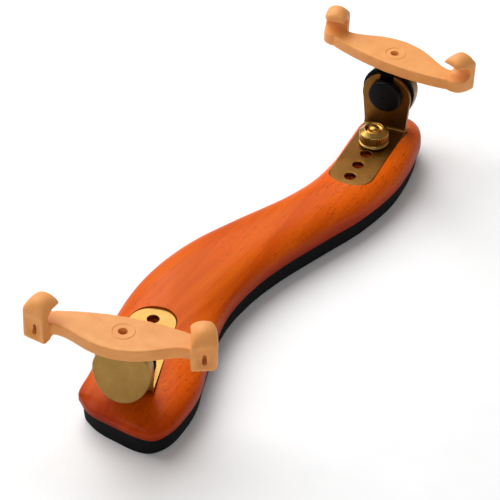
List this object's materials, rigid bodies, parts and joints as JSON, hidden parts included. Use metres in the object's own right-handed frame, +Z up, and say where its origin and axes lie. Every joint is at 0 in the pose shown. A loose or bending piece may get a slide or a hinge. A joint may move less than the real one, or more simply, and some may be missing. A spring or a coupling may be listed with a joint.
{
  "type": "violin shoulder rest",
  "caption": "Adjustable violin shoulder rest: a crowned S-shaped wooden board on a foam pad, with a brass foot and a two-clawed tan rubber fork at each end.",
  "frame": {"origin": "on the ground under the middle of the whole object, at the foam pad's flat underside", "axes": "+Z up, +Y along the board from the wide shoulder end (near foot) to the narrow chest end (far foot)"},
  "size_m": [0.0676, 0.2198, 0.0597],
  "materials": {
    "varnished_wood": "glossy orange-brown varnish over fine lengthwise grain",
    "foam": "black closed-cell foam, matt",
    "brass_plate": "satin brass plate",
    "turned_brass": "turned and knurled brass",
    "black_plastic": "black plastic with a soft sheen",
    "black_fibre": "black fibre washer",
    "steel": "brushed steel",
    "tan_rubber": "semi-matt tan rubber"
  },
  "bodies": {
    "root": {"foam_pad": "foam", "board_wood": "varnished_wood", "near_bracket": "brass_plate", "near_threaded_insert": "turned_brass", "far_bracket": "brass_plate", "far_threaded_insert": "turned_brass"},
    "near_screw": {"near_thumb_screw": "turned_brass"},
    "near_washer": {"near_friction_washer": "black_fibre"},
    "near_hub": {"near_pivot_hub": "brass_plate", "near_pivot_stud": "steel"},
    "near_nut": {"near_clamp_nut": "black_plastic"},
    "near_stem": {"near_fork_stem": "steel"},
    "near_fork": {"near_fork_grip": "tan_rubber", "near_fork_core": "steel"},
    "far_screw": {"far_thumb_screw": "turned_brass"},
    "far_washer": {"far_friction_washer": "black_fibre"},
    "far_hub": {"far_pivot_hub": "brass_plate", "far_pivot_stud": "steel"},
    "far_nut": {"far_clamp_nut": "black_plastic"},
    "far_stem": {"far_fork_stem": "steel"},
    "far_fork": {"far_fork_grip": "tan_rubber", "far_fork_core": "steel"}
  },
  "joints": [
    {"name": "near_screw_turn", "type": "hinge", "parent": "root", "child": "near_screw", "pos_m": [-0.0074, -0.07798, 0.0172], "axis": [0, 0, 1], "continuous": true},
    {"name": "near_height", "type": "slide", "parent": "root", "child": "near_washer", "axis": [0, 0, 1], "range_m": [0, 0.0045]},
    {"name": "near_tilt", "type": "hinge", "parent": "near_washer", "child": "near_hub", "pos_m": [-0.00136, -0.09504, 0.0318], "axis": [0.3338, -0.9426, 0], "range_deg": [-25, 25]},
    {"name": "near_nut_turn", "type": "hinge", "parent": "near_hub", "child": "near_nut", "pos_m": [-0.00136, -0.09504, 0.0318], "axis": [0.3338, -0.9426, 0], "continuous": true},
    {"name": "near_stem_rise", "type": "slide", "parent": "near_hub", "child": "near_stem", "axis": [0.0329, 0.0116, 0.9994], "range_m": [-0.0002, 0.0037]},
    {"name": "near_fork_turn", "type": "hinge", "parent": "near_stem", "child": "near_fork", "pos_m": [-0.00136, -0.09504, 0.0318], "axis": [0.0329, 0.0116, 0.9994], "range_deg": [-90, 2610]},
    {"name": "far_screw_turn", "type": "hinge", "parent": "root", "child": "far_screw", "pos_m": [0.00123, 0.07987, 0.0172], "axis": [0, 0, 1], "continuous": true},
    {"name": "far_height", "type": "slide", "parent": "root", "child": "far_washer", "axis": [0, 0, 1], "range_m": [-0.0014, 0.0045]},
    {"name": "far_tilt", "type": "hinge", "parent": "far_washer", "child": "far_hub", "pos_m": [-0.00076, 0.09786, 0.0332], "axis": [-0.1097, 0.994, 0], "range_deg": [-25, 25]},
    {"name": "far_nut_turn", "type": "hinge", "parent": "far_hub", "child": "far_nut", "pos_m": [-0.00076, 0.09786, 0.0332], "axis": [-0.1097, 0.994, 0], "continuous": true},
    {"name": "far_stem_rise", "type": "slide", "parent": "far_hub", "child": "far_stem", "axis": [0.0347, 0.0038, 0.9994], "range_m": [-0.0002, 0.0037]},
    {"name": "far_fork_turn", "type": "hinge", "parent": "far_stem", "child": "far_fork", "pos_m": [-0.00076, 0.09786, 0.0332], "axis": [0.0347, 0.0038, 0.9994], "range_deg": [-90, 2610]}
  ],
  "couplings": [
    {"joint": "near_stem_rise", "follows": "near_fork_turn", "m_per_rad": 0.000079577},
    {"joint": "far_stem_rise", "follows": "far_fork_turn", "m_per_rad": 0.000079577}
  ]
}
